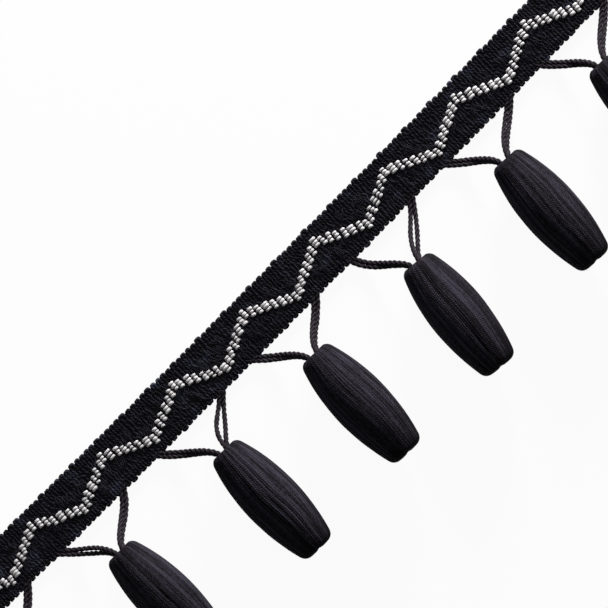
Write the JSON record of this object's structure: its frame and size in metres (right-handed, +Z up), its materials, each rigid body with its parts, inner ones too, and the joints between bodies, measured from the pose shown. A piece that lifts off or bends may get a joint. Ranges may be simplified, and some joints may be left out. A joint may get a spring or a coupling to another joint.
{
  "type": "beaded fringe trim",
  "caption": "Black woven heading tape with an ivory zigzag, lying flat, and thread-wrapped barrel beads hung along its lower edge on V-shaped doubled twisted cords.",
  "frame": {"origin": "on the resting surface, under the middle of the box of the tape and the beads", "axes": "+X along the tape, -Y from the tape towards the beads, +Z up from the tape's back to its face"},
  "size_m": [0.4336, 0.1098, 0.0256],
  "materials": {
    "heading_black": "matte",
    "zigzag_ivory": "matte",
    "bead_thread": "matte",
    "cord_black": "matte"
  },
  "bodies": {
    "root": {"heading": "heading_black", "bead_1": "bead_thread", "bead_2": "bead_thread", "bead_3": "bead_thread", "bead_4": "bead_thread", "bead_5": "bead_thread", "bead_6": "bead_thread", "bead_7": "bead_thread", "cord_1_left_outer": "cord_black", "cord_1_left_inner": "cord_black", "cord_1_right_inner": "cord_black", "cord_1_right_outer": "cord_black", "cord_2_left_outer": "cord_black", "cord_2_left_inner": "cord_black", "cord_2_right_inner": "cord_black", "cord_2_right_outer": "cord_black", "cord_3_left_outer": "cord_black", "cord_3_left_inner": "cord_black", "cord_3_right_inner": "cord_black", "cord_3_right_outer": "cord_black", "cord_4_left_outer": "cord_black", "cord_4_left_inner": "cord_black", "cord_4_right_inner": "cord_black", "cord_4_right_outer": "cord_black", "cord_5_left_outer": "cord_black", "cord_5_left_inner": "cord_black", "cord_5_right_inner": "cord_black", "cord_5_right_outer": "cord_black", "cord_6_left_outer": "cord_black", "cord_6_left_inner": "cord_black", "cord_6_right_inner": "cord_black", "cord_6_right_outer": "cord_black", "cord_7_left_outer": "cord_black", "cord_7_left_inner": "cord_black", "cord_7_right_inner": "cord_black", "cord_7_right_outer": "cord_black"}
  },
  "joints": []
}
